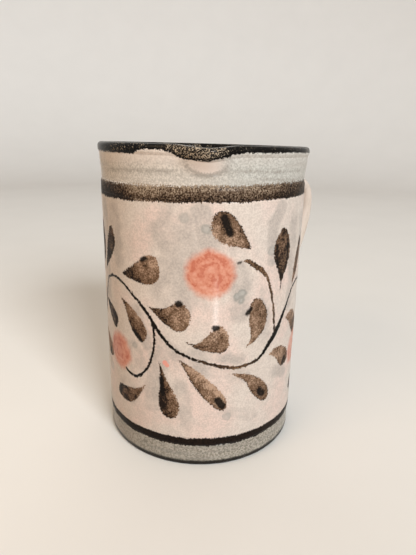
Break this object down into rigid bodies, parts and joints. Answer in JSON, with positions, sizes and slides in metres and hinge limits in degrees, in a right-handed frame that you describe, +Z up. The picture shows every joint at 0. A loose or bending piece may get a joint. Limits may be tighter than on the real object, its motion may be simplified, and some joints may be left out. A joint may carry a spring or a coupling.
{
  "type": "clay jug-mug",
  "caption": "Straight-sided stoneware mug with a small pulled pouring lip, a pulled strap handle and brushed slip bands, for drinking and pouring.",
  "frame": {"origin": "middle of the flat foot, on the axis of the mug", "axes": "+Z up along the axis of the mug, +X towards the handle"},
  "size_m": [0.1049, 0.0758, 0.1113],
  "materials": {
    "bare_clay": "grey speckled stoneware, thin satin glaze on the side and bare underneath",
    "grey_glazed_clay": "pale grey speckled stoneware under a satin glaze, with fine turning lines",
    "pale_glazed_clay": "pale slip under a satin glaze",
    "joining_slip": "smoothed joining slip under a satin glaze",
    "dark_glaze": "glossy black-brown speckled glaze",
    "brown_slip": "mottled brown slip under a satin glaze",
    "painted_ground": "cream-pink slip painted with a leafy scroll and coral blossoms, under a satin glaze",
    "dark_slip": "near-black slip under a satin glaze"
  },
  "bodies": {
    "root": {"base_slab": "bare_clay", "wall": "grey_glazed_clay", "base_coil": "grey_glazed_clay", "handle": "pale_glazed_clay", "upper_root_slip": "joining_slip", "lower_root_slip": "joining_slip", "rim_glaze": "dark_glaze", "shoulder_band": "brown_slip", "ground_slip": "painted_ground", "foot_band": "dark_slip"}
  },
  "joints": []
}
